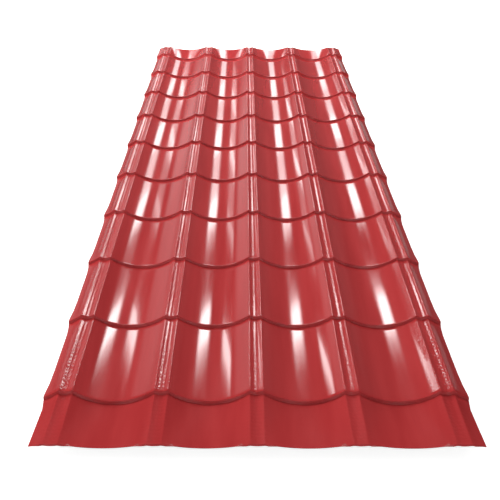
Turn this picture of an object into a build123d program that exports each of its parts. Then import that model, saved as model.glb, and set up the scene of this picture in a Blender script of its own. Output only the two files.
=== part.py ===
from build123d import *
from math import asin, atan, cos, degrees, sin
import os

# A cut length of tile effect roofing sheet, in millimetres.
# X runs across the sheet, Y runs up the roof and Z points away from the roof.
# The origin is under the middle of the sheet, at the level that it lies on.

# The wave across the sheet: wide hollow pans between narrow double ridges
pitch = 210.0
wave_depth = 28.0
ridge_spacing = 28.8
ridge_radius = 5.0
groove_depth = 3.3
sheet_width = 938.0
least_edge = 20.0
sheet_thickness = 0.5

# As many crests as fit, with at least that much pan outside the last ridge at each side
crest_count = int((sheet_width - ridge_spacing - 2 * least_edge) / pitch) + 1

# The steps along the sheet, which face down the roof like the fronts of tiles
step_count = 10
step_spacing = 350.0
step_height = 8.0
lower_run = 195.0
sheet_length = 3500.0

# The cut ends, where the shears leave the wave flatter
lower_end_depth = 10.0
upper_end_depth = 15.0

lower_end = -sheet_length / 2
upper_end = sheet_length / 2
steps = [lower_end + lower_run + step * step_spacing for step in range(step_count)]
tread_run = step_spacing + sheet_thickness
tread_fall = step_height / tread_run
foot_crest = sheet_thickness + wave_depth
nose_crest = foot_crest + step_height


def wave_line(crest_level, depth, inset):
    """Draws the wave as tangent arcs, at a distance inside the painted side, and returns its ends."""
    outer_pan = crest_count * pitch / 2
    pan_half = (pitch - ridge_spacing) / 2
    ridge_half = ridge_spacing / 2
    groove = groove_depth * depth / wave_depth
    pan_slope = 2 * atan(depth / pan_half)
    groove_slope = 2 * atan(groove / ridge_half)
    pan_radius = pan_half / sin(pan_slope) - ridge_radius
    groove_radius = ridge_half / sin(groove_slope) - ridge_radius
    pan_centre = crest_level - depth + pan_radius
    groove_centre = crest_level - groove + groove_radius
    ridge_centre = crest_level - ridge_radius

    pan_turn = degrees(pan_slope)
    groove_turn = degrees(groove_slope)
    ridge_turn = pan_turn + groove_turn
    pan_arc = pan_radius + inset
    ridge_arc = ridge_radius - inset
    edge_turn = pan_turn - degrees(asin((outer_pan - sheet_width / 2) / pan_arc))

    left = CenterArc((-outer_pan, pan_centre), pan_arc, pan_turn - edge_turn - 90, edge_turn)
    for crest in range(crest_count):
        middle = (crest + 0.5) * pitch - outer_pan
        left_ridge = (middle - ridge_half, ridge_centre)
        right_ridge = (middle + ridge_half, ridge_centre)
        CenterArc(left_ridge, ridge_arc, 90 + pan_turn, -ridge_turn)
        CenterArc((middle, groove_centre), groove_radius + inset, -90 - groove_turn, 2 * groove_turn)
        CenterArc(right_ridge, ridge_arc, 90 + groove_turn, -ridge_turn)
    for pan in range(1, crest_count):
        middle = pan * pitch - outer_pan
        CenterArc((middle, pan_centre), pan_arc, -90 - pan_turn, 2 * pan_turn)
    right = CenterArc((outer_pan, pan_centre), pan_arc, -90 - pan_turn, edge_turn)
    return left @ 0, right @ 1


def cross_section(plane, crest_level, depth):
    """Sketches the metal where a plane cuts across the sheet."""
    with BuildSketch(plane) as section:
        with BuildLine():
            painted_left, painted_right = wave_line(crest_level, depth, 0)
            back_left, back_right = wave_line(crest_level, depth, sheet_thickness)
            Line(painted_left, back_left)
            Line(painted_right, back_right)
        make_face()
    return section.sketch


def end_tread(full_end, cut_end, full_crest, cut_crest, cut_depth):
    """Lofts a short tread that flattens evenly from its full wave to its cut end."""
    full_section = cross_section(Plane.XZ.offset(-full_end), full_crest, wave_depth)
    cut_section = cross_section(Plane.XZ.offset(-cut_end), cut_crest, cut_depth)
    loft([full_section, cut_section], ruled=True)


# One upright step, which joins the middle of the metal above it and below it
with BuildPart() as riser:
    with BuildSketch(Plane.XZ):
        with BuildLine():
            nose_left, nose_right = wave_line(nose_crest, wave_depth, sheet_thickness / 2)
            foot_left, foot_right = wave_line(foot_crest, wave_depth, sheet_thickness / 2)
            Line(nose_left, foot_left)
            Line(nose_right, foot_right)
        make_face()
    extrude(amount=-sheet_thickness)

# One sloping tread, from its nose up the roof to the foot of the next step
with BuildPart() as tread:
    lean = cos(atan(step_height / tread_run))  # an upright section is this much taller than a square one
    square_to_tread = Plane(origin=(0, 0, 0), x_dir=(1, 0, 0), z_dir=(0, -tread_run, step_height))
    section = cross_section(square_to_tread.offset(step_height), nose_crest * lean, wave_depth * lean)
    extrude(section, amount=-tread_run - 2 * step_height)
    split(bisect_by=Plane.XZ, keep=Keep.BOTTOM)
    split(bisect_by=Plane.XZ.offset(-tread_run), keep=Keep.TOP)

with BuildPart() as roofing_sheet:
    with Locations(*[(0, station, 0) for station in steps]):
        add(riser.part)
    with Locations(*[(0, station, 0) for station in steps[:-1]]):
        add(tread.part)

    # Below the lowest step
    first_foot = steps[0] + sheet_thickness
    lower_crest = foot_crest + (first_foot - lower_end) * tread_fall
    end_tread(first_foot, lower_end, foot_crest, lower_crest, lower_end_depth)

    # Above the highest step
    last_nose = steps[-1]
    upper_crest = nose_crest - (upper_end - last_nose) * tread_fall
    end_tread(last_nose, upper_end, nose_crest, upper_crest, upper_end_depth)

roofing_sheet.part.label = "roofing_sheet"
os.makedirs("parts", exist_ok=True)
export_step(roofing_sheet.part, "parts/roofing_sheet.step")
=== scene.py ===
from math import asin, atan, cos, pi, radians, sin, tan

import bpy
from mathutils import Euler, Matrix, Vector


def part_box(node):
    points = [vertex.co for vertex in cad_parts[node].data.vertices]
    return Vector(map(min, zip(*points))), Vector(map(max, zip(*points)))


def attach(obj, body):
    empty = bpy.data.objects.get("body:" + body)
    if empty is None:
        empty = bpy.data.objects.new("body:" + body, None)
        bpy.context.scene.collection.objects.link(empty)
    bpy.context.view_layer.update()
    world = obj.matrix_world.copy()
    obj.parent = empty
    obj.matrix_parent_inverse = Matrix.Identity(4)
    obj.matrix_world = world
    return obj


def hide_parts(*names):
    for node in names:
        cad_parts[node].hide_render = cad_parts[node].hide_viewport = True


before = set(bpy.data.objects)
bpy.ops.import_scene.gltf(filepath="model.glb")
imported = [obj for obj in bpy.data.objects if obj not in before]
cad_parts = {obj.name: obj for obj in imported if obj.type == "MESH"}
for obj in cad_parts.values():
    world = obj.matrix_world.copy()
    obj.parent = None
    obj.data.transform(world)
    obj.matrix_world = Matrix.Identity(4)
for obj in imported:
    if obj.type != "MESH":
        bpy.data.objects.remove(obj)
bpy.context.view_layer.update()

print("frame loaded")


# Node helpers

def plug(tree, value, socket):
    if isinstance(value, bpy.types.NodeSocket):
        tree.links.new(value, socket)
    else:
        socket.default_value = value


def addNode(tree, kind, inputs=None, **settings):
    node = tree.nodes.new(kind)
    for name, value in settings.items():
        setattr(node, name, value)
    for key, value in (inputs or {}).items():
        plug(tree, value, node.inputs[key])
    return node


def calc(tree, operation, *values):
    node = addNode(tree, "ShaderNodeMath", operation=operation)
    for socket, value in zip(node.inputs, values):
        plug(tree, value, socket)
    return node.outputs[0]


def remap(tree, value, fromLow, fromHigh, toLow, toHigh, smooth=False):
    kind = "SMOOTHSTEP" if smooth else "LINEAR"
    node = addNode(tree, "ShaderNodeMapRange", interpolation_type=kind, clamp=True)
    for socket, given in zip(node.inputs, (value, fromLow, fromHigh, toLow, toHigh)):
        plug(tree, given, socket)
    return node.outputs[0]


def spreadNodes(tree, perRow=12):
    for number, node in enumerate(tree.nodes):
        node.location = (number % perRow * 220, -(number // perRow) * 320)


# The sheet: a translation surface, the wave across it plus the steps along it

sheet = {
    "pitch": 0.210,             # crest to crest
    "crestCount": 5,
    "waveDepth": 0.028,
    "ridgeSpacing": 0.0288,     # the two ridges of a crest
    "ridgeRadius": 0.005,
    "grooveDepth": 0.0033,
    "stepCount": 10,
    "stepSpacing": 0.350,
    "stepHeight": 0.008,
    "lowerRun": 0.195,          # lower cut end to the lowest step
    "lowerEndDepth": 0.010,
    "upperEndDepth": 0.015,
    "thickness": 0.0005,
    "endGap": 0.0001,           # keeps bends and dents off the solid's own box
    "footRadius": 0.0010,
    "noseRadius": 0.0018,
    "riserAngle": radians(87),
    "noseEnd": 0.0021,          # the nose's bend ends this far behind the step
    "lowerEndCurve": 0.16,      # 0 flattens the lowest tread evenly, more leaves it to the cut end
    "panSegments": 14,
    "ridgeSegments": 7,
    "grooveSegments": 3,
    "footSegments": 3,
    "noseSegments": 5,
    "treadSegments": 10,
    "lowerSegments": 9,
    "endRowShare": 0.006,       # short rows at both ends of a tread keep the bends' shading off it
    "footRow": 0.002,
    "edgePull": 0.0045,         # the side edges lie this far further in, away from the steps
    "edgeBand": 0.030,          # only the outer strip of the sheet swings with its edge
    "flareAbove": 0.085,        # how far up the tread from a step the edge swings out
    "flareBelow": 0.035,
    "unevenness": 0.0008,
    "unevenScale": (9.0, 5.0),  # across and along
    "ridgeDents": 0.0007,
    "dentScale": (45.0, 19.0),
    "ridgeFade": 3.0,           # segments of the pan over which the dents and wrinkles fade out
    "burrRun": 0.0012,          # the lower cut turns down a little under the crests
    "burrDrop": 0.0040,
    "burrFrom": -0.006,         # height below a crest where the burr starts, and where it is full
    "burrFull": -0.001,
    "mergeDistance": 0.00001,
    "sharpAngle": radians(50),
    "seed": 4.0,
}


def waveArcs():
    # Tangent arcs, the same as the solid's: pan, ridge and groove
    panHalf = (sheet["pitch"] - sheet["ridgeSpacing"]) / 2
    ridgeHalf = sheet["ridgeSpacing"] / 2
    panTurn = 2 * atan(sheet["waveDepth"] / panHalf)
    grooveTurn = 2 * atan(sheet["grooveDepth"] / ridgeHalf)
    panRadius = panHalf / sin(panTurn) - sheet["ridgeRadius"]
    grooveRadius = ridgeHalf / sin(grooveTurn) - sheet["ridgeRadius"]
    return panHalf, panTurn, panRadius, grooveTurn, grooveRadius


def stepBends():
    # The upright face is straight between a tight bend at the foot and a wider one at the nose
    slope = atan(sheet["stepHeight"] / sheet["stepSpacing"])
    lean = sheet["riserAngle"]
    bendRise = (sheet["footRadius"] + sheet["noseRadius"]) * (cos(slope) - cos(lean))
    bendRun = (sheet["footRadius"] + sheet["noseRadius"]) * (sin(slope) + sin(lean))
    faceRise = sheet["stepHeight"] * (1 - sheet["noseEnd"] / sheet["stepSpacing"]) - bendRise
    footStart = bendRun + faceRise / tan(lean) - sheet["noseEnd"]
    return footStart, slope


def buildSheetTree(low, high, materials):
    tree = bpy.data.node_groups.new("stepTileSheet", "GeometryNodeTree")
    panHalf, panTurn, panRadius, grooveTurn, grooveRadius = waveArcs()
    footStart, slope = stepBends()
    sizes = {
        "Pitch": sheet["pitch"],
        "Pan Half": panHalf,
        "Pan Turn": panTurn,
        "Pan Radius": panRadius,
        "Ridge Radius": sheet["ridgeRadius"],
        "Groove Turn": grooveTurn,
        "Groove Radius": grooveRadius,
        "Wave Depth": sheet["waveDepth"],
        "Groove Depth": sheet["grooveDepth"],
        "Half Width": high.x,
        "Lower End": low.y + sheet["endGap"],
        "Upper End": high.y - sheet["endGap"],
        "First Step": low.y + sheet["lowerRun"],
        "Step Spacing": sheet["stepSpacing"],
        "Step Height": sheet["stepHeight"],
        "Foot Start": footStart,
        "Tread Slope": slope,
        "Foot Radius": sheet["footRadius"],
        "Nose End": sheet["noseEnd"],
        "Nose Radius": sheet["noseRadius"],
        "Riser Angle": sheet["riserAngle"],
        "Lower End Depth": sheet["lowerEndDepth"],
        "Upper End Depth": sheet["upperEndDepth"],
        "Edge Pull": sheet["edgePull"],
        "Flare Above": sheet["flareAbove"],
        "Flare Below": sheet["flareBelow"],
        "Unevenness": sheet["unevenness"],
        "Ridge Dents": sheet["ridgeDents"],
        "Burr Run": sheet["burrRun"],
        "Burr Drop": sheet["burrDrop"],
        "Thickness": sheet["thickness"],
        "Seed": sheet["seed"],
    }
    for name, value in sizes.items():
        socket = tree.interface.new_socket(name=name, in_out="INPUT", socket_type="NodeSocketFloat")
        socket.default_value = value
    tree.interface.new_socket(name="Sheet", in_out="OUTPUT", socket_type="NodeSocketGeometry")
    given = addNode(tree, "NodeGroupInput").outputs

    def m(operation, *values):
        # One Math node of this tree
        return calc(tree, operation, *values)

    def choose(test, whenFalse, whenTrue):
        inputs = {"Switch": test, "False": whenFalse, "True": whenTrue}
        return addNode(tree, "GeometryNodeSwitch", inputs, input_type="FLOAT").outputs[0]

    def noiseAt(scale, detail):
        place = {"X": m("MULTIPLY", x, scale[0]), "Y": m("MULTIPLY", y, scale[1])}
        vector = addNode(tree, "ShaderNodeCombineXYZ", place).outputs[0]
        inputs = {"Vector": vector, "W": given["Seed"], "Scale": 1.0, "Detail": detail}
        return addNode(tree, "ShaderNodeTexNoise", inputs, noise_dimensions="4D").outputs[0]

    # A flat grid gives the order of the points: columns across, rows up the roof
    halfWave = sheet["panSegments"] + sheet["ridgeSegments"] + sheet["grooveSegments"]
    edgeTurn = asin((sheet["crestCount"] * sheet["pitch"] / 2 - high.x) / panRadius)
    firstColumn = int(sheet["panSegments"] * edgeTurn / panTurn)
    lastPlace = 2 * sheet["crestCount"] * halfWave
    columns = lastPlace - 2 * firstColumn + 1
    stepRows = sheet["footSegments"] + 1 + sheet["noseSegments"] + sheet["treadSegments"]
    rows = sheet["lowerSegments"] + sheet["stepCount"] * stepRows + 1
    grid = addNode(tree, "GeometryNodeMeshGrid", {"Vertices X": columns, "Vertices Y": rows}).outputs["Mesh"]
    index = addNode(tree, "GeometryNodeInputIndex").outputs[0]
    column = m("FLOOR", m("DIVIDE", m("ADD", index, 0.5), rows))
    row = m("SUBTRACT", index, m("MULTIPLY", column, rows))

    # Across: place counts segments from the middle of one pan to the next crest, and back
    edgePlace = sheet["panSegments"] * edgeTurn / panTurn
    place = m("MAXIMUM", m("ADD", column, firstColumn), edgePlace)
    place = m("MINIMUM", place, lastPlace - edgePlace)
    half = m("FLOOR", m("DIVIDE", place, halfWave))
    odd = m("FLOORED_MODULO", half, 2.0)
    fold = m("PINGPONG", place, halfWave)
    ridgeFrom = sheet["panSegments"]
    ridgeTo = ridgeFrom + sheet["ridgeSegments"]
    grooveTilt = m("MULTIPLY", given["Groove Turn"], -1.0)
    panBend = remap(tree, fold, 0.0, ridgeFrom, 0.0, given["Pan Turn"])
    ridgeBend = remap(tree, fold, ridgeFrom, ridgeTo, given["Pan Turn"], grooveTilt)
    grooveBend = remap(tree, fold, ridgeTo, halfWave, grooveTilt, 0.0)
    panX = m("MULTIPLY", given["Pan Radius"], m("SINE", panBend))
    panZ = m("MULTIPLY_ADD", given["Pan Radius"], m("SUBTRACT", 1.0, m("COSINE", panBend)),
             m("MULTIPLY", given["Wave Depth"], -1.0))
    ridgeX = m("SUBTRACT", given["Pan Half"], m("MULTIPLY", given["Ridge Radius"], m("SINE", ridgeBend)))
    ridgeZ = m("MULTIPLY", given["Ridge Radius"], m("SUBTRACT", m("COSINE", ridgeBend), 1.0))
    halfPitch = m("MULTIPLY", given["Pitch"], 0.5)
    grooveX = m("MULTIPLY_ADD", given["Groove Radius"], m("SINE", grooveBend), halfPitch)
    grooveZ = m("MULTIPLY_ADD", given["Groove Radius"], m("SUBTRACT", 1.0, m("COSINE", grooveBend)),
                m("MULTIPLY", given["Groove Depth"], -1.0))
    inPan = m("LESS_THAN", fold, ridgeFrom)
    inGroove = m("GREATER_THAN", fold, ridgeTo)
    foldX = choose(inPan, choose(inGroove, ridgeX, grooveX), panX)
    waveZ = choose(inPan, choose(inGroove, ridgeZ, grooveZ), panZ)
    side = m("SUBTRACT", 1.0, m("MULTIPLY", odd, 2.0))
    fromMiddle = m("SUBTRACT", m("ADD", half, odd), float(sheet["crestCount"]))
    x = m("MULTIPLY_ADD", side, foldX, m("MULTIPLY", fromMiddle, halfPitch))
    x = m("MAXIMUM", m("MINIMUM", x, given["Half Width"]), m("MULTIPLY", given["Half Width"], -1.0))

    # Along: the lower cut end first, then foot, face, nose and tread for each step
    rowUp = m("SUBTRACT", row, sheet["lowerSegments"])
    step = m("FLOOR", m("DIVIDE", rowUp, stepRows))
    step = m("MINIMUM", m("MAXIMUM", step, 0.0), sheet["stepCount"] - 1.0)
    rowInStep = m("SUBTRACT", rowUp, m("MULTIPLY", step, stepRows))
    station = m("MULTIPLY_ADD", step, given["Step Spacing"], given["First Step"])
    noseFrom = sheet["footSegments"] + 1
    noseTo = noseFrom + sheet["noseSegments"]

    def riseOver(distance):
        # Height of the tread over its foot
        return m("MULTIPLY", given["Step Height"], m("DIVIDE", distance, given["Step Spacing"]))

    treadTilt = m("MULTIPLY", given["Tread Slope"], -1.0)
    footBend = remap(tree, rowInStep, 0.0, noseFrom - 1.0, treadTilt, given["Riser Angle"])
    tiltRun, tiltRise = m("SINE", given["Tread Slope"]), m("COSINE", given["Tread Slope"])
    footY = m("MULTIPLY_ADD", given["Foot Radius"], m("ADD", m("SINE", footBend), tiltRun),
              m("SUBTRACT", station, given["Foot Start"]))
    footZ = m("MULTIPLY_ADD", given["Foot Radius"], m("SUBTRACT", tiltRise, m("COSINE", footBend)),
              riseOver(given["Foot Start"]))
    noseBend = remap(tree, rowInStep, noseFrom, noseTo, given["Riser Angle"], treadTilt)
    noseY = m("SUBTRACT", m("ADD", station, given["Nose End"]),
              m("MULTIPLY", given["Nose Radius"], m("ADD", m("SINE", noseBend), tiltRun)))
    noseZ = m("MULTIPLY_ADD", given["Nose Radius"], m("SUBTRACT", m("COSINE", noseBend), tiltRise),
              riseOver(m("SUBTRACT", given["Step Spacing"], given["Nose End"])))

    # The long rows of the tread, between its short first and last ones
    endShare = sheet["endRowShare"]
    treadShare = remap(tree, rowInStep, noseTo + 1.0, stepRows - 1.0, endShare, 1.0 - endShare, smooth=True)
    treadShare = choose(m("GREATER_THAN", rowInStep, stepRows - 0.5), treadShare, 1.0)
    isTop = m("GREATER_THAN", step, sheet["stepCount"] - 1.5)
    treadFrom = m("ADD", station, given["Nose End"])
    nextFoot = m("SUBTRACT", m("ADD", station, given["Step Spacing"]), given["Foot Start"])
    treadTo = choose(isTop, nextFoot, given["Upper End"])
    treadY = m("MULTIPLY_ADD", treadShare, m("SUBTRACT", treadTo, treadFrom), treadFrom)
    treadZ = riseOver(m("SUBTRACT", m("ADD", station, given["Step Spacing"]), treadY))
    firstFoot = m("SUBTRACT", given["First Step"], given["Foot Start"])
    burrStart = m("ADD", given["Lower End"], given["Burr Run"])
    lowerTo = m("SUBTRACT", firstFoot, sheet["footRow"])
    lowerY = remap(tree, row, 1.0, sheet["lowerSegments"] - 1.0, burrStart, lowerTo, smooth=True)
    lowerY = choose(m("LESS_THAN", row, 0.5), lowerY, given["Lower End"])
    lowerZ = riseOver(m("SUBTRACT", given["First Step"], lowerY))

    isLower = m("LESS_THAN", rowUp, 0.0)
    isFoot = m("LESS_THAN", rowInStep, noseFrom - 0.5)
    isTread = m("GREATER_THAN", rowInStep, noseTo + 0.5)
    y = choose(isLower, choose(isFoot, choose(isTread, noseY, treadY), footY), lowerY)
    stepZ = choose(isLower, choose(isFoot, choose(isTread, noseZ, treadZ), footZ), lowerZ)

    # The cut ends are flatter, and the crests keep their height
    lowerShare = remap(tree, y, firstFoot, given["Lower End"], 0.0, 1.0)
    lastNose = m("MULTIPLY_ADD", given["Step Spacing"], sheet["stepCount"] - 1.0, given["First Step"])
    upperShare = remap(tree, y, lastNose, given["Upper End"], 0.0, 1.0)
    lowerLoss = m("SUBTRACT", 1.0, m("DIVIDE", given["Lower End Depth"], given["Wave Depth"]))
    upperLoss = m("SUBTRACT", 1.0, m("DIVIDE", given["Upper End Depth"], given["Wave Depth"]))
    curve = sheet["lowerEndCurve"]
    lowerShare = m("MULTIPLY", lowerShare, m("MULTIPLY_ADD", lowerShare, curve, 1.0 - curve))
    loss = m("ADD", m("MULTIPLY", lowerLoss, lowerShare), m("MULTIPLY", upperLoss, upperShare))
    waveZ = m("MULTIPLY", waveZ, m("SUBTRACT", 1.0, loss))

    # Free side edges swing out at each step, and rolled metal is never quite even
    pastStep = m("FLOORED_MODULO", m("SUBTRACT", y, given["First Step"]), given["Step Spacing"])
    above = remap(tree, pastStep, 0.0, given["Flare Above"], 1.0, 0.0, smooth=True)
    belowFrom = m("SUBTRACT", given["Step Spacing"], given["Flare Below"])
    below = remap(tree, pastStep, belowFrom, given["Step Spacing"], 0.0, 1.0, smooth=True)
    pull = m("MULTIPLY", given["Edge Pull"], m("SUBTRACT", 1.0, m("MAXIMUM", above, below)))
    edgeFrom = m("SUBTRACT", given["Half Width"], sheet["edgeBand"])
    toEdge = remap(tree, m("ABSOLUTE", x), edgeFrom, given["Half Width"], 0.0, 1.0)
    pull = m("MULTIPLY", m("MULTIPLY", pull, toEdge), m("SIGN", x))
    noise = noiseAt(sheet["unevenScale"], 2.0)
    uneven = m("MULTIPLY", given["Unevenness"], m("SUBTRACT", noise, 0.5))
    dents = noiseAt(sheet["dentScale"], 1.0)
    fadeFrom = ridgeFrom - sheet["ridgeFade"]
    onRidge = remap(tree, fold, fadeFrom, ridgeFrom, 0.0, 1.0)
    onRidge = m("MULTIPLY", m("SUBTRACT", dents, 0.5), m("MULTIPLY", onRidge, given["Ridge Dents"]))
    uneven = m("ADD", uneven, onRidge)
    base = m("ADD", given["Thickness"], given["Wave Depth"])
    toCut = remap(tree, y, burrStart, given["Lower End"], 0.0, 1.0)
    crestness = remap(tree, waveZ, sheet["burrFrom"], sheet["burrFull"], 0.0, 1.0, smooth=True)
    burr = m("MULTIPLY", m("MULTIPLY", toCut, crestness), given["Burr Drop"])
    z = m("ADD", m("ADD", base, stepZ), m("ADD", waveZ, m("SUBTRACT", uneven, burr)))
    z = m("MAXIMUM", z, m("ADD", given["Thickness"], sheet["endGap"]))
    z = m("MINIMUM", z, m("ADD", base, given["Step Height"]))
    position = addNode(tree, "ShaderNodeCombineXYZ", {"X": m("SUBTRACT", x, pull), "Y": y, "Z": z}).outputs[0]
    painted = addNode(tree, "GeometryNodeSetPosition", {"Geometry": grid, "Position": position}).outputs[0]

    # A mask of the ridges, which the paint reads
    ridgeness = remap(tree, fold, fadeFrom, ridgeFrom + 1.0, 0.0, 1.0)
    painted = addNode(
        tree, "GeometryNodeStoreNamedAttribute",
        {"Geometry": painted, "Name": "ridge", "Value": ridgeness}, data_type="FLOAT", domain="POINT",
    ).outputs[0]

    # The back coat is the painted side moved in by the thickness, and turned over
    inward = {"Mesh": painted, "Offset Scale": m("MULTIPLY", given["Thickness"], -1.0), "Individual": False}
    back = addNode(tree, "GeometryNodeExtrudeMesh", inward, mode="FACES")
    turned = addNode(tree, "GeometryNodeFlipFaces", {"Mesh": back.outputs["Mesh"]}).outputs[0]
    named = turned
    for name, value in (("isBack", back.outputs["Top"]), ("isEdge", back.outputs["Side"])):
        named = addNode(
            tree, "GeometryNodeStoreNamedAttribute",
            {"Geometry": named, "Name": name, "Value": value}, data_type="BOOLEAN", domain="FACE",
        ).outputs[0]
    joined = addNode(tree, "GeometryNodeJoinGeometry")
    for geometry in (painted, named):
        tree.links.new(geometry, joined.inputs[0])
    closed = addNode(
        tree, "GeometryNodeMergeByDistance",
        {"Geometry": joined.outputs[0], "Distance": sheet["mergeDistance"]},
    )
    smooth = addNode(tree, "GeometryNodeSetShadeSmooth", {"Geometry": closed.outputs[0]})
    finished = addNode(tree, "GeometryNodeRealizeInstances", {"Geometry": smooth.outputs[0]}).outputs[0]
    finished = addNode(
        tree, "GeometryNodeSetMaterial", {"Geometry": finished, "Material": materials["paint"]}
    ).outputs[0]
    for name, material in (("isBack", materials["backCoat"]), ("isEdge", materials["cutEdge"])):
        mask = addNode(tree, "GeometryNodeInputNamedAttribute", {"Name": name}, data_type="BOOLEAN")
        finished = addNode(
            tree, "GeometryNodeSetMaterial",
            {"Geometry": finished, "Selection": mask.outputs[0], "Material": material},
        ).outputs[0]
    plug(tree, finished, addNode(tree, "NodeGroupOutput").inputs[0])
    spreadNodes(tree)
    return tree


def makeSheet(materials):
    # An empty carrier holds the modifier, and its result is taken off as a plain mesh
    low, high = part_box("roofing_sheet")
    carrier = bpy.data.objects.new("sheetCarrier", bpy.data.meshes.new("sheetCarrier"))
    bpy.context.scene.collection.objects.link(carrier)
    modifier = carrier.modifiers.new("stepTileSheet", "NODES")
    modifier.node_group = buildSheetTree(low, high, materials)
    for socket in modifier.node_group.interface.items_tree:
        if socket.in_out == "INPUT":
            modifier[socket.identifier] = socket.default_value
    evaluated = carrier.evaluated_get(bpy.context.evaluated_depsgraph_get())
    mesh = bpy.data.meshes.new_from_object(evaluated)
    bpy.data.objects.remove(carrier)
    mesh.name = "roofingSheetSkin"
    mesh.set_sharp_from_angle(angle=sheet["sharpAngle"])
    piece = bpy.data.objects.new("roofingSheetSkin", mesh)
    bpy.context.scene.collection.objects.link(piece)
    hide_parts("roofing_sheet")
    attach(piece, "root")
    triangles = sum(len(face.vertices) - 2 for face in mesh.polygons)
    print("sheet:", len(mesh.vertices), "points,", triangles, "triangles")


# Materials

paint = {
    "deepRed": (0.52, 0.040, 0.042, 1),
    "lightRed": (0.60, 0.052, 0.054, 1),
    "streakScale": (28, 1.6, 28),
    "roughness": (0.06, 0.16),  # in the smoothest streaks and in the dullest
    "coatRoughness": 0.04,
    "coatWeight": 0.5,
    "peelScale": 420.0,
    "peelHeight": 0.04,
    "ripple": 0.015,            # from one small fold across a ridge to the next
    "rippleShift": 7.0,         # how far the wrinkles push the ripples out of line
    "rippleHeight": 0.35,
    "wrinkleScale": (150, 62, 150),
    "wrinkleHeight": 2.0,
    "bumpDistance": 0.0006,
    "bumpStrength": 0.6,
}

backCoat = {
    "darkGrey": (0.42, 0.42, 0.40, 1),
    "lightGrey": (0.52, 0.52, 0.50, 1),
    "cloudScale": 14.0,
    "roughness": (0.42, 0.55),
}

cutEdge = {
    "steelGrey": (0.36, 0.35, 0.34, 1),
    "metallic": 0.8,
    "grainScale": 900.0,
    "roughness": (0.35, 0.60),
}


def startMaterial(name):
    material = bpy.data.materials.new(name)
    material.use_nodes = True
    tree = material.node_tree
    return material, tree, tree.nodes["Principled BSDF"]


def noiseOver(tree, vector, scale, detail):
    inputs = {"Vector": vector, "Scale": scale, "Detail": detail}
    return addNode(tree, "ShaderNodeTexNoise", inputs).outputs[0]


def stretch(tree, vector, scale):
    return addNode(tree, "ShaderNodeMapping", {"Vector": vector, "Scale": scale}).outputs[0]


def mixColours(tree, share, first, second):
    node = addNode(tree, "ShaderNodeMix", {"Factor": share}, data_type="RGBA")
    plug(tree, first, node.inputs[6])
    plug(tree, second, node.inputs[7])
    return node.outputs[2]


def makePaint():
    material, tree, surface = startMaterial("glossRedPaint")
    place = addNode(tree, "ShaderNodeTexCoord").outputs["Object"]

    # Rolling leaves faint streaks along the sheet
    streaks = noiseOver(tree, stretch(tree, place, paint["streakScale"]), 1.0, 3.0)
    share = remap(tree, streaks, 0.3, 0.7, 0.0, 1.0)
    plug(tree, mixColours(tree, share, paint["deepRed"], paint["lightRed"]), surface.inputs["Base Color"])
    plug(tree, remap(tree, streaks, 0.25, 0.75, *paint["roughness"]), surface.inputs["Roughness"])
    surface.inputs["Coat Weight"].default_value = paint["coatWeight"]
    surface.inputs["Coat Roughness"].default_value = paint["coatRoughness"]

    # Orange peel all over, and wrinkles and ripples where the ridges were rolled tightest
    peel = noiseOver(tree, place, paint["peelScale"], 1.0)
    ridge = addNode(tree, "ShaderNodeAttribute", attribute_name="ridge").outputs["Fac"]
    wrinkles = noiseOver(tree, stretch(tree, place, paint["wrinkleScale"]), 1.0, 1.0)
    along = addNode(tree, "ShaderNodeSeparateXYZ", {"Vector": place}).outputs[1]
    phase = calc(tree, "MULTIPLY", along, 2 * pi / paint["ripple"])
    shifted = calc(tree, "MULTIPLY_ADD", wrinkles, paint["rippleShift"], phase)
    ripple = calc(tree, "MULTIPLY", calc(tree, "SINE", shifted), paint["rippleHeight"])
    folds = calc(tree, "MULTIPLY_ADD", wrinkles, paint["wrinkleHeight"], ripple)
    height = calc(tree, "MULTIPLY_ADD", folds, ridge, calc(tree, "MULTIPLY", peel, paint["peelHeight"]))
    bump = addNode(
        tree, "ShaderNodeBump",
        {"Height": height, "Distance": paint["bumpDistance"], "Strength": paint["bumpStrength"]},
    )
    plug(tree, bump.outputs[0], surface.inputs["Normal"])
    return material


def makeBackCoat():
    material, tree, surface = startMaterial("greyBackCoat")
    place = addNode(tree, "ShaderNodeTexCoord").outputs["Object"]
    cloud = noiseOver(tree, place, backCoat["cloudScale"], 4.0)
    grey = mixColours(tree, cloud, backCoat["darkGrey"], backCoat["lightGrey"])
    plug(tree, grey, surface.inputs["Base Color"])
    plug(tree, remap(tree, cloud, 0.3, 0.7, *backCoat["roughness"]), surface.inputs["Roughness"])
    return material


def makeCutEdge():
    material, tree, surface = startMaterial("shearedSteel")
    place = addNode(tree, "ShaderNodeTexCoord").outputs["Object"]
    grain = noiseOver(tree, place, cutEdge["grainScale"], 2.0)
    surface.inputs["Base Color"].default_value = cutEdge["steelGrey"]
    surface.inputs["Metallic"].default_value = cutEdge["metallic"]
    plug(tree, remap(tree, grain, 0.3, 0.7, *cutEdge["roughness"]), surface.inputs["Roughness"])
    return material


# Studio: pale floor, soft lamps, and the camera at the photo's viewing angle. Brightness 1 is white

studio = {
    "floorHalf": 14.0,
    "floorLevel": -0.0002,
    "floorColour": 0.80,
    "floorRoughness": 0.9,
    # painted dark reflection: the floor's colour where the gloss paint mirrors it stands in for a dark hall
    "floorPaintedReflection": 0.20,      # the gloss paint mirrors a dark hall, as in the photo
    "floorGlow": 0.82,          # seen by the camera only, and brings the floor up to white
    "worldLight": 0.24,
    "worldShown": 1.0,
    "worldMirrored": 0.03,
}

# A black card across the lowest step, seen only in the paint's reflections, paints a dark reflection over the
# lowest tread and keeps the lamps out of it
blackCard = {
    "colour": (0.004, 0.004, 0.004, 1),
    "halfWidth": 0.6,
    "place": -1.545,
    "foot": 0.006,
    "head": 0.3,
}

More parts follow.
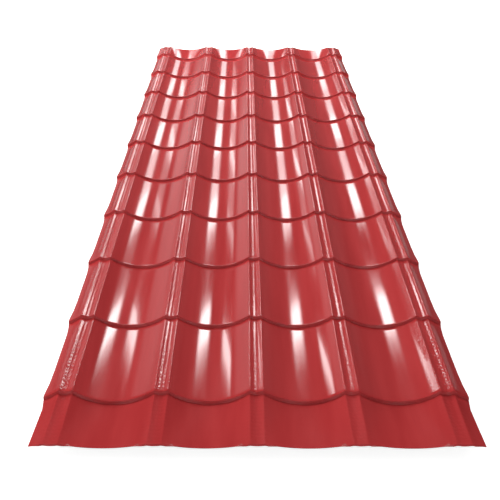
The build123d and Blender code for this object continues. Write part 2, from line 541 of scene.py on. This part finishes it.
# The main lamp fades out towards the camera, so that its end isn't mirrored as a line across the sheet
mainLamp = {
    "centre": (-0.8, 1.8, 4.4),
    "width": 4.0,
    "length": 5.6,
    "stops": ((0.0, 0.0), (0.42, 3.05), (1.0, 3.05)),   # shares of the length, and the brightness there
}

# Soft fills, which light the paint and are not mirrored in it
fills = {
    # name: centre, point it faces, height, length, brightness
    "nearFill": ((-2.0, -1.3, 0.55), (-0.2, -1.4, 0.0), 0.6, 1.6, 3.2),
    "leftFill": ((-4.0, 3.0, 2.2), (0.0, -0.2, 0.0), 2.0, 3.0, 9.0),
    "rightFill": ((4.2, 4.2, 2.2), (0.0, 0.5, 0.0), 2.0, 3.0, 5.0),
    "frontFill": ((0.0, -5.0, 0.55), (0.0, -1.5, 0.0), 1.0, 4.0, 1.4),
}

# Dim walls, which the paint mirrors: the first two from the camera, the front one from behind
dimWalls = {
    # name: middle, point it faces, height, length, and shares of the length with the brightness there
    "leftWall": ((-2.6, 8.5, 1.5), (0.0, 8.5, 1.5), 3.0, 15.0, (
        (0.0, 0.05), (0.16, 0.23), (0.24, 0.24), (0.32, 0.26), (0.40, 0.27), (0.50, 0.36), (0.58, 0.38),
        (0.67, 0.37), (0.76, 0.24), (0.86, 0.14), (1.0, 0.08))),
    "farWall": ((0.0, 16.5, 2.8), (0.0, 0.0, 2.8), 5.6, 20.0, ((0.0, 0.03), (1.0, 0.03))),
    "frontWall": ((0.0, -9.0, 2.6), (0.0, 0.0, 2.0), 4.8, 14.0, (
        (0.0, 0.1), (0.30, 0.2), (0.36, 1.1), (0.44, 1.1), (0.50, 0.3), (0.58, 0.3), (0.64, 1.1),
        (0.72, 1.1), (0.78, 0.2), (1.0, 0.1))),
}

# Two lines of lamps along a ceiling, which make the bright patches in every pan
lampLines = {
    # name: place across, height, width, and places along with the brightness there
    "middleLine": (0.33, 2.07, 0.92, (
        (2.34, 0.0), (2.60, 1.5), (2.74, 3.5), (2.86, 9.0), (3.25, 9.0), (3.50, 0.0),
        (4.70, 0.0), (5.05, 3.5), (5.15, 5.5), (5.70, 6.5), (5.90, 2.0), (7.36, 1.3),
        (7.38, 4.5), (8.20, 4.5), (8.48, 3.2), (8.50, 1.2), (9.68, 1.0),
        (9.70, 3.2), (10.6, 3.2), (10.9, 1.6), (12.0, 1.6), (13.5, 1.6))),
    "leftLine": (-0.80, 1.28, 0.60, (
        (1.04, 0.0), (1.20, 1.6), (1.32, 5.0), (1.61, 6.0), (1.65, 0.0),
        (2.90, 0.0), (3.30, 2.2), (3.47, 2.2), (3.49, 0.4), (4.50, 0.4), (4.90, 3.6),
        (5.23, 4.0), (5.25, 0.6), (6.30, 0.6), (6.70, 3.0), (7.08, 3.4), (7.10, 0.6), (8.50, 0.6))),
}

cameraFit = {
    "place": (-0.03025, -3.4380, 1.2293),
    "tiltDown": 0.4257,
    "turnRight": 0.0075,
    "roll": 0.0055,
    "focalPixels": 1005.97,
    "imagePixels": 500,
    "sensor": 36.0,
}


def makeFloor():
    bpy.ops.mesh.primitive_plane_add(size=2 * studio["floorHalf"], location=(0, 0, studio["floorLevel"]))
    floor = bpy.context.object
    floor.name = "studioFloor"
    material, tree, surface = startMaterial("paleFloor")
    surface.inputs["Roughness"].default_value = studio["floorRoughness"]
    path = addNode(tree, "ShaderNodeLightPath")
    # Glossy rays see the floor darker than the camera does: a painted dark reflection
    plain, mirrored = [(tone, tone, tone, 1) for tone in (studio["floorColour"], studio["floorPaintedReflection"])]
    seen = mixColours(tree, path.outputs["Is Glossy Ray"], plain, mirrored)
    plug(tree, seen, surface.inputs["Base Color"])
    glow = calc(tree, "MULTIPLY", path.outputs["Is Camera Ray"], studio["floorGlow"])
    surface.inputs["Emission Color"].default_value = (1, 1, 1, 1)
    plug(tree, glow, surface.inputs["Emission Strength"])
    floor.data.materials.append(material)


def makeCard():
    # Only the paint sees it, and only from the front: a painted dark reflection
    side, place = blackCard["halfWidth"], blackCard["place"]
    foot, head = blackCard["foot"], blackCard["head"]
    corners = [(-side, place, foot), (side, place, foot), (side, place, head), (-side, place, head)]
    mesh = bpy.data.meshes.new("blackCard")
    mesh.from_pydata(corners, [], [(0, 1, 2, 3)])
    card = bpy.data.objects.new("blackCard", mesh)
    bpy.context.scene.collection.objects.link(card)
    material, tree, surface = startMaterial("paintedDarkReflection")
    surface.inputs["Base Color"].default_value = blackCard["colour"]
    surface.inputs["Roughness"].default_value = 1.0
    surface.inputs["Specular IOR Level"].default_value = 0.0
    behind = addNode(tree, "ShaderNodeNewGeometry").outputs["Backfacing"]
    clear = addNode(tree, "ShaderNodeBsdfTransparent").outputs[0]
    oneSided = addNode(tree, "ShaderNodeMixShader", {0: behind, 1: surface.outputs[0], 2: clear}).outputs[0]
    plug(tree, oneSided, tree.nodes["Material Output"].inputs["Surface"])
    mesh.materials.append(material)
    card.visible_camera = False
    card.visible_diffuse = False
    card.visible_shadow = False


def makeWorld():
    world = bpy.data.worlds.new("studioWorld")
    world.use_nodes = True
    bpy.context.scene.world = world
    tree = world.node_tree
    tree.nodes.clear()
    path = addNode(tree, "ShaderNodeLightPath").outputs
    unseen = remap(tree, path["Is Glossy Ray"], 0.0, 1.0, studio["worldLight"], studio["worldMirrored"])
    strength = remap(tree, path["Is Camera Ray"], 0.0, 1.0, unseen, studio["worldShown"])
    background = addNode(tree, "ShaderNodeBackground", {"Color": (1, 1, 1, 1), "Strength": strength})
    output = addNode(tree, "ShaderNodeOutputWorld")
    plug(tree, background.outputs[0], output.inputs["Surface"])


def hangLamp(name, centre, target, width, length, brightness, side="Y"):
    # The length runs along the sheet where a lamp faces down. Side X keeps it level where it faces sideways
    light = bpy.data.lights.new(name, "AREA")
    light.shape = "RECTANGLE"
    light.size = width
    light.size_y = length
    light.energy = brightness * pi * width * length
    lamp = bpy.data.objects.new(name, light)
    lamp.location = centre
    lamp.rotation_euler = (Vector(target) - Vector(centre)).to_track_quat("-Z", side).to_euler()
    lamp.visible_camera = False
    bpy.context.scene.collection.objects.link(lamp)
    return light


def hangStrip(name, centre, target, width, length, stops, side="Y", sideFade=0.30):
    # A lamp with bright and dim stretches along its length, and soft side edges
    peak = max(brightness for _, brightness in stops)
    light = hangLamp(name, centre, target, width, length, peak, side)
    light.use_nodes = True
    tree = light.node_tree
    place = addNode(tree, "ShaderNodeNewGeometry").outputs["Parametric"]
    parts = addNode(tree, "ShaderNodeSeparateXYZ", {"Vector": place}).outputs
    ramp = addNode(tree, "ShaderNodeValToRGB", {"Fac": parts[1]})
    elements = ramp.color_ramp.elements
    for number, (share, brightness) in enumerate(stops):
        element = elements[number] if number < 2 else elements.new(share)
        element.position = share
        level = brightness / peak
        element.color = (level, level, level, 1)
    strength = ramp.outputs["Color"]
    if sideFade:
        toSide = calc(tree, "ABSOLUTE", calc(tree, "SUBTRACT", parts[0], 0.5))
        soft = remap(tree, toSide, 0.5 - sideFade, 0.5, 1.0, 0.0, smooth=True)
        strength = calc(tree, "MULTIPLY", strength, soft)
    plug(tree, strength, tree.nodes["Emission"].inputs["Strength"])


def makeLamps():
    across, middle, _ = mainLamp["centre"]
    hangStrip("mainLamp", mainLamp["centre"], (across, middle, 0.0), mainLamp["width"], mainLamp["length"],
              mainLamp["stops"], sideFade=0.0)
    for name, (centre, target, height, length, brightness) in fills.items():
        hangLamp(name, centre, target, height, length, brightness, side="X")
        bpy.data.objects[name].visible_glossy = False
    for name, (across, height, width, places) in lampLines.items():
        start, end = places[0][0], places[-1][0]
        middle = (start + end) / 2
        stops = [((along - start) / (end - start), brightness) for along, brightness in places]
        hangStrip(name, (across, middle, height), (across, middle, 0.0), width, end - start, stops)
    for name, (centre, target, height, length, stops) in dimWalls.items():
        hangStrip(name, centre, target, height, length, stops, side="X")


def makeCamera():
    data = bpy.data.cameras.new("photoCamera")
    data.sensor_width = cameraFit["sensor"]
    data.lens = cameraFit["focalPixels"] / cameraFit["imagePixels"] * cameraFit["sensor"]
    camera = bpy.data.objects.new("photoCamera", data)
    aim = Euler((pi / 2 - cameraFit["tiltDown"], 0, -cameraFit["turnRight"])).to_matrix().to_4x4()
    camera.matrix_world = (
        Matrix.Translation(cameraFit["place"]) @ aim @ Matrix.Rotation(cameraFit["roll"], 4, "Z")
    )
    bpy.context.scene.collection.objects.link(camera)
    bpy.context.scene.camera = camera


makeCamera()
makeSheet({"paint": makePaint(), "backCoat": makeBackCoat(), "cutEdge": makeCutEdge()})
makeFloor()
makeCard()
makeWorld()
makeLamps()
bpy.context.scene.view_settings.view_transform = "Standard"
print("studio ready")
